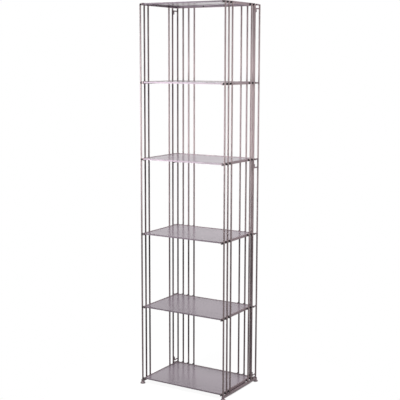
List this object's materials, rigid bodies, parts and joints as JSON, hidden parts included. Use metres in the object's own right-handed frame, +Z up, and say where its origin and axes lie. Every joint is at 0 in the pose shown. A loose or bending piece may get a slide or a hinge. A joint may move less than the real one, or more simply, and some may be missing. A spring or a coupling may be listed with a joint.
{
  "type": "open bookshelf",
  "caption": "Tall open bookshelf: sheet-metal trays carried between grouped slim round uprights on three sides, with levelling feet.",
  "frame": {"origin": "on the floor, under the middle of the bookshelf", "axes": "+Z up, +Y towards the back, +X to the right seen from the front"},
  "size_m": [0.484, 0.344, 1.8465],
  "materials": {
    "upright_coat": "satin taupe powder coat on steel rod",
    "rail_coat": "satin taupe powder coat on flat steel bar and steel spacers",
    "tray_coat": "satin taupe powder coat on folded steel sheet",
    "clip_coat": "satin taupe powder coat on steel plate",
    "foot_coat": "satin taupe powder coat on turned steel",
    "spacer_nylon": "black moulded nylon",
    "screw_steel": "black oxide steel"
  },
  "bodies": {
    "case": {"left_upright_1": "upright_coat", "left_upright_2": "upright_coat", "left_upright_3": "upright_coat", "left_upright_4": "upright_coat", "left_upright_5": "upright_coat", "right_upright_1": "upright_coat", "right_upright_2": "upright_coat", "right_upright_3": "upright_coat", "right_upright_4": "upright_coat", "right_upright_5": "upright_coat", "back_upright_1": "upright_coat", "back_upright_2": "upright_coat", "back_upright_3": "upright_coat", "back_upright_4": "upright_coat", "back_upright_5": "upright_coat", "back_upright_6": "upright_coat", "back_upright_7": "upright_coat", "back_upright_8": "upright_coat", "left_rail_1": "rail_coat", "right_rail_1": "rail_coat", "back_rail_1": "rail_coat", "left_rail_2": "rail_coat", "right_rail_2": "rail_coat", "back_rail_2": "rail_coat", "left_rail_3": "rail_coat", "right_rail_3": "rail_coat", "back_rail_3": "rail_coat", "left_rail_4": "rail_coat", "right_rail_4": "rail_coat", "back_rail_4": "rail_coat", "left_rail_5": "rail_coat", "right_rail_5": "rail_coat", "back_rail_5": "rail_coat", "left_rail_6": "rail_coat", "right_rail_6": "rail_coat", "back_rail_6": "rail_coat", "left_base_bar": "rail_coat", "right_base_bar": "rail_coat", "back_base_bar": "rail_coat", "bottom_shelf": "tray_coat", "shelf_2": "tray_coat", "shelf_3": "tray_coat", "shelf_4": "tray_coat", "shelf_5": "tray_coat", "top_shelf": "tray_coat", "top_left_clip": "clip_coat", "top_right_clip": "clip_coat", "middle_left_clip": "clip_coat", "middle_right_clip": "clip_coat", "bottom_left_clip": "clip_coat", "bottom_right_clip": "clip_coat", "upright_spacers": "spacer_nylon", "corner_spacers": "rail_coat", "set_screws": "screw_steel", "shelf_screws": "screw_steel"},
    "front_left_foot_body": {"front_left_foot": "foot_coat"},
    "front_right_foot_body": {"front_right_foot": "foot_coat"},
    "back_left_foot_body": {"back_left_foot": "foot_coat"},
    "back_right_foot_body": {"back_right_foot": "foot_coat"}
  },
  "joints": [
    {"name": "front_left_foot_slide", "type": "slide", "parent": "case", "child": "front_left_foot_body", "axis": [0, 0, -1], "range_m": [0, 0.005]},
    {"name": "front_right_foot_slide", "type": "slide", "parent": "case", "child": "front_right_foot_body", "axis": [0, 0, -1], "range_m": [0, 0.005]},
    {"name": "back_left_foot_slide", "type": "slide", "parent": "case", "child": "back_left_foot_body", "axis": [0, 0, -1], "range_m": [0, 0.005]},
    {"name": "back_right_foot_slide", "type": "slide", "parent": "case", "child": "back_right_foot_body", "axis": [0, 0, -1], "range_m": [0, 0.005]}
  ]
}
